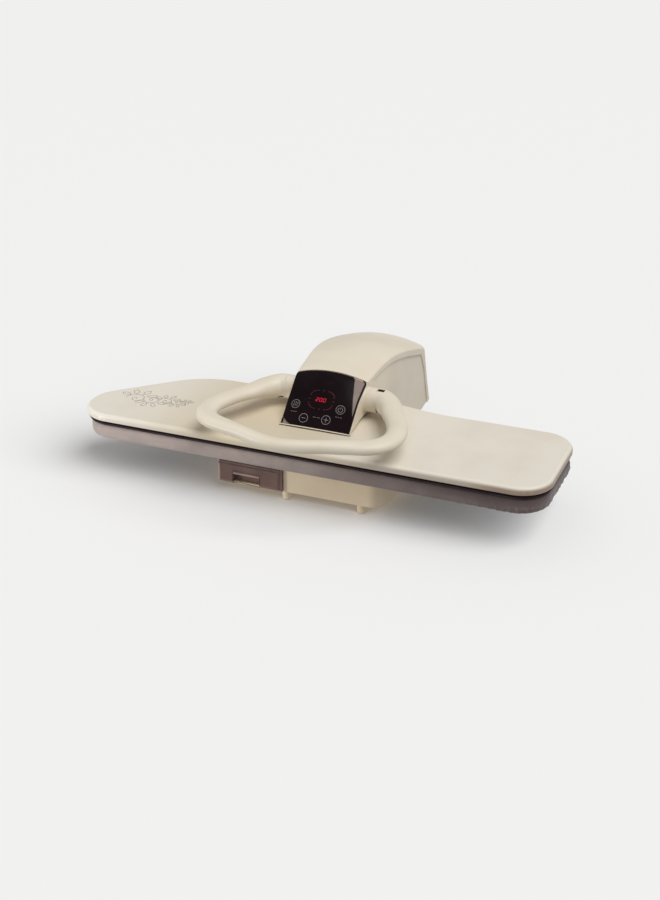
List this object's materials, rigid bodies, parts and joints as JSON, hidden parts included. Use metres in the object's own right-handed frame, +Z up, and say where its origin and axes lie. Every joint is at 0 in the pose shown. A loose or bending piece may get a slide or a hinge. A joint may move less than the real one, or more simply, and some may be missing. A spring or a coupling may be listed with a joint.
{
  "type": "ironing press",
  "caption": "Table-top steam ironing press: padded board, hinged heated plate, arched hood with black control panel, oval locking handle and slide-out water tank.",
  "frame": {"origin": "middle of the footprint's bounding box, on the table", "axes": "+X along the board away from its pointed nose, -Y towards the user, +Z up"},
  "size_m": [1.005, 0.633, 0.2478],
  "materials": {
    "warm_cream_plastic": "warm cream moulded plastic",
    "rubber": "dark rubber",
    "galvanised_tray": "light pressed metal tray",
    "felt": "felt and foam",
    "grey_cloth": "mauve-grey cotton cover",
    "steel": "plated steel",
    "black_plastic": "dark heat-resisting plastic",
    "hose": "translucent silicone",
    "circuit_board": "green circuit board",
    "brass": "turned brass",
    "cream_plastic": "satin cream moulded plastic",
    "panel_silver": "silver lacquer",
    "panel_glass": "gloss black acrylic",
    "red_display": "red digits",
    "cast_aluminium": "cast aluminium",
    "sole_coating": "dark non-stick coating on aluminium",
    "smoky_plastic": "smoky brown translucent plastic"
  },
  "bodies": {
    "base": {"base_housing": "warm_cream_plastic", "base_floor": "warm_cream_plastic", "foot_front_left": "warm_cream_plastic", "foot_front_right": "warm_cream_plastic", "foot_rear_left": "warm_cream_plastic", "foot_rear_right": "warm_cream_plastic", "foot_pad_front_left": "rubber", "foot_pad_front_right": "rubber", "foot_pad_rear_left": "rubber", "foot_pad_rear_right": "rubber", "board_pan": "galvanised_tray", "board_pad": "felt", "board_cover": "grey_cloth", "hinge_tower_left": "steel", "hinge_tower_right": "steel", "hinge_shaft": "steel", "lift_spring_left": "steel", "lift_spring_right": "steel", "spring_anchor": "steel", "water_pump": "black_plastic", "suction_hose": "hose", "tank_coupling": "black_plastic", "power_board": "circuit_board", "cord_inlet": "rubber"},
    "press_arm": {"arm_plate_left": "steel", "arm_plate_right": "steel", "hinge_bush_left": "brass", "hinge_bush_right": "brass", "cross_rod_front": "steel", "cross_rod_rear": "steel", "hood_shell": "cream_plastic", "hood_side_left": "cream_plastic", "hood_side_right": "cream_plastic", "head_base": "cream_plastic", "panel_bezel": "panel_silver", "panel_glass": "panel_glass", "panel_board": "circuit_board", "led_display": "red_display", "yoke_guide": "cast_aluminium"},
    "press_plate": {"plate_cover": "cream_plastic", "plate_frame": "black_plastic", "sole_plate": "sole_coating", "heating_element": "steel", "steam_chamber": "cast_aluminium", "plate_yoke": "steel"},
    "handle": {"handle_ring": "cream_plastic", "handle_shaft": "steel", "eccentric_left": "steel", "eccentric_right": "steel"},
    "water_tank": {"tank_body": "smoky_plastic", "tank_lid": "smoky_plastic", "tank_valve": "black_plastic", "filter_cartridge": "hose"}
  },
  "joints": [
    {"name": "lid_hinge", "type": "hinge", "parent": "base", "child": "press_arm", "pos_m": [0, 0.21449, 0.136], "axis": [-1, 0, 0], "range_deg": [0, 45]},
    {"name": "handle_lever", "type": "hinge", "parent": "press_arm", "child": "handle", "pos_m": [0, -0.02551, 0.181], "axis": [-1, 0, 0], "range_deg": [0, 12]},
    {"name": "plate_press", "type": "slide", "parent": "press_arm", "child": "press_plate", "axis": [0, 0, 1], "range_m": [0, 0.002]},
    {"name": "tank_slide", "type": "slide", "parent": "base", "child": "water_tank", "axis": [0, -1, 0], "range_m": [0, 0.165]}
  ],
  "couplings": [
    {"joint": "plate_press", "follows": "handle_lever", "m_per_rad": 0.00953}
  ]
}
